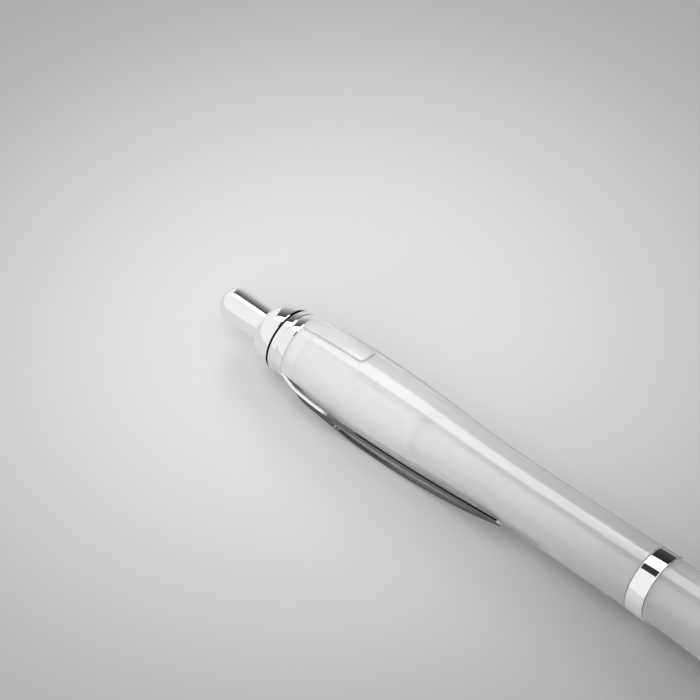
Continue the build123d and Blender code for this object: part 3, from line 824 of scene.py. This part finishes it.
def makeNoseCone():
    start, end = startOf("nose_cone"), endOf("nose_cone")
    base = start + nose["spigotLength"]
    a, b = Vector((base, nose["base"])), Vector((end, nose["mouth"]))
    chord = (b - a).length
    radius = (chord * chord / 4 + nose["bulge"] ** 2) / (2 * nose["bulge"])
    out = Vector((a.y - b.y, b.x - a.x)).normalized()
    curve = []
    for t in spread(0, 1, nose["arcSteps"]):  # arc that bows out from the chord
        lift = math.sqrt(radius * radius - (chord * (t - 0.5)) ** 2) - (radius - nose["bulge"])
        curve.append(tuple(a.lerp(b, t) + out * lift))
    land, seat, step = (end - nose[key] for key in ("mouthLand", "springSeat", "boreStep"))
    rest = [
        (end, nose["mouthBore"]),
        (land, nose["mouthBore"]),
        (land, nose["neckBore"]),
        (seat, nose["neckBore"]),
        (seat, nose["springBore"]),
        (step, nose["springBore"]),
        (step, nose["bore"]),
        (start, nose["bore"]),
        (start, nose["spigot"]),
        (base, nose["spigot"]),
    ]
    bm = spunMesh(curve + rest)
    easeEdges(bm, nose["edge"], least=nose["easeFrom"])
    fitPiece(newObject("noseConeShell", bm), "front", "nose_cone", "chrome_plate")


makeNoseCone()

# return spring, wound as one wire
spring = {"wire": 0.19 * mm, "turns": 7, "sides": 12, "perTurn": 40, "pressed": 4.38 * mm}


def makeSpring():
    low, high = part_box("return_spring")
    coil = (high.y - low.y) / 2 - spring["wire"]
    start, end = low.x + spring["wire"], high.x - spring["wire"]
    steps = spring["turns"] * spring["perTurn"]
    bm = bmesh.new()
    bmesh.ops.create_circle(bm, cap_ends=True, segments=spring["sides"], radius=spring["wire"])
    bmesh.ops.translate(bm, vec=placed(start, coil), verts=bm.verts)  # drawn across the wire's own run
    bmesh.ops.spin(
        bm, geom=bm.faces[:], cent=onAxis, axis=alongPen, angle=math.tau * spring["turns"],
        steps=steps, dvec=((end - start) / steps, 0, 0), use_merge=False,
    )
    bmesh.ops.recalc_face_normals(bm, faces=bm.faces)
    thing = fitPiece(newObject("returnSpringCoil", bm), "front", "return_spring", "spring_wire")
    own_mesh(thing)


makeSpring()

# writing point: holder and ball
point = {
    "tip": 1.2 * mm, "pin": 1.08 * mm, "channel": 0.25 * mm, "cone": 2.3 * mm, "pinLength": 4.65 * mm,
    "socket": 0.53 * mm, "past": 0.17 * mm, "edge": 0.04 * mm, "edgeSteps": 2,
    "easeFrom": math.radians(60), "ballCuts": (32, 20), "cupSteps": 12, "turnSteps": 64,
}


def makePoint():
    low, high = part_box("writing_ball")
    ball, middle = (high.x - low.x) / 2, (high.x + low.x) / 2
    around, along = point["ballCuts"]
    bm = bmesh.new()
    bmesh.ops.create_uvsphere(bm, u_segments=around, v_segments=along, radius=ball)
    bmesh.ops.translate(bm, vec=placed(middle, 0), verts=bm.verts)
    fitPiece(newObject("writingBallBead", bm), "ball", "writing_ball", "carbide")
    start = startOf("point_holder")
    pinEnd = start + point["pinLength"]
    away = math.acos(point["past"] / point["socket"])
    back = math.pi - math.asin(point["channel"] / point["socket"])
    turns = spread(away, back, point["cupSteps"])
    cup = [(middle + point["socket"] * math.cos(a), point["socket"] * math.sin(a)) for a in turns]
    side = [
        (start, point["channel"]),
        (start, point["pin"]),
        (pinEnd, point["pin"]),
        (pinEnd, point["tip"]),
        (middle - point["cone"], point["tip"]),
        (middle + point["past"], point["socket"]),
    ]
    bm = spunMesh(side + cup, steps=point["turnSteps"])
    behind = middle - point["cone"] / 2
    easeEdges(
        bm, point["edge"], point["edgeSteps"], least=point["easeFrom"],
        keep=lambda e: e.verts[0].co.x < behind,
    )
    fitPiece(newObject("pointHolderTip", bm), "refill", "point_holder", "tip_metal")


makePoint()
print("pieces done")

# floor, light and camera
# the floor's colour holds a painted pool of light, from near round the middle to far further out, and a painted
# glow far out that only reflections see
floorLook = {
    "near": (0.75, 0.75, 0.75), "far": (0.42, 0.42, 0.422), "horizonGlow": (0.4, 0.4, 0.4),
    "middle": (-0.0565, 0.0165, 0), "paintedFalloff": (0.012, 0.1), "rise": (0.05, 0.8), "size": 6.0,
    "below": 0.01 * mm,
}


def makeFloor():  # pale paper with a painted pool of light round the pen, darker further out; in plate it is evenly pale and far out it glows into the white sky, a painted glow
    bm = bmesh.new()
    bmesh.ops.create_grid(bm, x_segments=1, y_segments=1, size=floorLook["size"] / 2)
    bmesh.ops.translate(bm, vec=(0, 0, -floorLook["below"]), verts=bm.verts)
    floor = newObject("paleFloor", bm)
    material, tree, shader = newFinish("palePaper", {
        "Roughness": 0.8, "Specular IOR Level": 0.15, "Emission Strength": 1.0,
    })
    away = addNode(tree, "ShaderNodeVectorMath", operation="DISTANCE")
    feed(tree, away.inputs[0], stretched(tree))
    feed(tree, away.inputs[1], floorLook["middle"])
    paintedFalloff = remap(tree, away.outputs["Value"], *floorLook["paintedFalloff"], soft=True)
    rise = remap(tree, away.outputs["Value"], *floorLook["rise"], soft=True)
    inPlate = addNode(tree, "ShaderNodeLightPath").outputs["Is Glossy Ray"]
    paintedPool = blendColors(tree, paintedFalloff, floorLook["near"], floorLook["far"])
    color = blendColors(tree, inPlate, paintedPool, floorLook["near"])
    tree.links.new(color, shader.inputs["Base Color"])
    farInPlate = maths(tree, "MULTIPLY", rise, inPlate)
    # painted glow: far out, reflections see the floor shine
    glow = blendColors(tree, farInPlate, (0, 0, 0), floorLook["horizonGlow"])
    tree.links.new(glow, shader.inputs["Emission Color"])
    floor.data.materials.append(material)


makeFloor()

lamps = {  # direction and distance from the place on the pen that a lamp aims at
    "backKey": {
        "from": (-0.61, 0.61, 0.5), "aim": -0.03, "away": 0.9, "size": (0.3, 0.3), "power": 2.0,
    },
    "frontFill": {
        "from": (0.0, -0.85, 0.4), "aim": -0.03, "away": 1.0, "size": (1.1, 0.9), "power": 2.8,
    },
    "headSoft": {
        "from": (0.1, -0.38, 0.92), "aim": -0.064, "away": 0.11, "size": (0.09, 0.09), "power": 0.03,
    },
}


def facing(toward):  # turn that faces a thing back along a direction, its X kept along the pen
    z = Vector(toward).normalized()
    x = (alongPen - z * alongPen.dot(z)).normalized()
    return Matrix((x, z.cross(x), z)).transposed()


def makeLamps():
    for name, lamp in lamps.items():  # lit surfaces show them, plate and gloss don't
        aim = Vector((lamp["aim"], axisY, axisZ))
        data = bpy.data.lights.new(name, "AREA")
        data.shape = "RECTANGLE"
        data.size, data.size_y = lamp["size"]
        data.energy = lamp["power"]
        thing = bpy.data.objects.new(name, data)
        thing.location = aim + Vector(lamp["from"]).normalized() * lamp["away"]
        thing.rotation_euler = facing(lamp["from"]).to_euler()
        thing.visible_glossy = False
        thing.visible_camera = False
        bpy.context.scene.collection.objects.link(thing)


makeLamps()

cardSteps = 12
cards = {  # reach along x, then the turns round the pen's axis that a card stands between; three lie flat
    "headCard": {"x": (-0.24, -0.13), "turns": (0, 68), "away": 0.15, "low": 0.8, "high": 0.01},
    "backCard": {"x": (-0.13, 0.16), "turns": (-2, 50), "away": 0.15, "low": 0.08, "high": 0.02},
    "frontCard": {"x": (-0.143, 0.1), "turns": (86, 107), "away": 0.2, "low": 0.04, "high": 0.04},
    "topCard": {"x": (-0.9, 0.3), "turns": (52, 86), "away": 0.8, "low": 3.0, "high": 3.0},
    # a dark sheet under the clip that only reflections see: a painted shadow in the chrome
    "clipCard": {
        "x": (-0.054, -0.006), "y": (-0.0072, -0.0034), "z": 0.05 * mm, "low": 0.1, "high": 0.1,
    },
    "rearCard": {"x": (-0.06, 0.04), "y": (0.016, 0.1), "z": 0.02 * mm, "low": 0.32, "high": 0.32},
    # a sheet under the pen seen only through the plastic: painted light under the head end, fading to painted
    # shade towards the ring
    "underCard": {
        "x": (-0.053, 0.08), "y": (-0.014, 0.012), "z": 0.03 * mm, "low": 0.95, "high": 0.02,
        "to": 0.008,
    },
}


def makeShade(name, card, span):  # an even glow, or one that changes over a span
    material = bpy.data.materials.new(name + "Shade")
    material.use_nodes = True
    tree = material.node_tree
    tree.nodes.remove(tree.nodes["Principled BSDF"])
    glow = addNode(tree, "ShaderNodeEmission")
    if card["low"] == card["high"]:
        glow.inputs["Color"].default_value = (1, 1, 1, 1)
        glow.inputs["Strength"].default_value = card["low"]
    else:
        rise = remap(tree, spotParts(tree)["X" if "to" in card else "Z"], *span)
        shade = blendColors(tree, rise, [card["low"]] * 3, [card["high"]] * 3)
        tree.links.new(shade, glow.inputs["Color"])
    tree.links.new(glow.outputs["Emission"], tree.nodes["Material Output"].inputs["Surface"])
    return material


def makeCards():  # painted reflections: glowing or dark sheets that only reflections see; the last is seen only through the plastic, painted light and shade there
    for name, card in cards.items():
        throughOnly = "to" in card
        bm = bmesh.new()
        bmesh.ops.create_grid(bm, x_segments=1, y_segments=cardSteps, size=0.5)
        for vert in bm.verts:
            x = card["x"][0] if vert.co.x < 0 else card["x"][1]
            first, last = card["turns"] if "turns" in card else card["y"]
            place = first + (last - first) * (vert.co.y + 0.5)
            if "turns" in card:
                vert.co = placed(x, card["away"], math.radians(place))
            else:
                vert.co = (x, place, card["z"])
        heights = [vert.co.z for vert in bm.verts]
        span = (card["x"][0], card["to"]) if throughOnly else (min(heights), max(heights))
        thing = newObject(name, bm)
        thing.data.materials.append(makeShade(name, card, span))
        thing.visible_camera = False
        thing.visible_diffuse = False
        thing.visible_glossy = not throughOnly
        thing.visible_transmission = throughOnly
        thing.visible_shadow = False


makeCards()

sky = {"seen": 1.0, "through": 0.8, "lit": 0.66}


def makeSky():  # white where it is seen or mirrored, less so through plastic, and softer as a light
    world = bpy.data.worlds.new("studioSky")
    bpy.context.scene.world = world
    world.use_nodes = True
    tree = world.node_tree
    path = addNode(tree, "ShaderNodeLightPath").outputs
    background = tree.nodes["Background"]
    background.inputs["Color"].default_value = (1, 1, 1, 1)
    seen = maths(tree, "MAXIMUM", path["Is Camera Ray"], path["Is Glossy Ray"])
    direct = maths(tree, "MULTIPLY", seen, sky["seen"] - sky["lit"])
    through = maths(tree, "MULTIPLY", path["Is Transmission Ray"], sky["through"] - sky["lit"])
    more = maths(tree, "MAXIMUM", direct, through)
    tree.links.new(maths(tree, "ADD", more, sky["lit"]), background.inputs["Strength"])


makeSky()

camera = {  # turn and rise in degrees
    "turn": 41.96, "rise": 47.21, "target": (-48.5 * mm, 5.509 * mm, 6.0 * mm), "distance": 449.0 * mm,
    "lens": 154.29, "sensor": 36, "near": 0.01, "far": 20,
}


def makeCamera():
    data = bpy.data.cameras.new("photoCamera")
    data.lens, data.sensor_width = camera["lens"], camera["sensor"]
    data.clip_start, data.clip_end = camera["near"], camera["far"]
    thing = bpy.data.objects.new("photoCamera", data)
    turn, rise = math.radians(camera["turn"]), math.radians(camera["rise"])
    back = Vector((math.sin(turn) * math.cos(rise), -math.cos(turn) * math.cos(rise), math.sin(rise)))
    thing.location = Vector(camera["target"]) + back * camera["distance"]
    thing.rotation_euler = (-back).to_track_quat("-Z", "Y").to_euler()
    bpy.context.scene.collection.objects.link(thing)
    bpy.context.scene.camera = thing


makeCamera()
bpy.context.scene.view_settings.view_transform = "Standard"
print("stage, lamps and camera done")
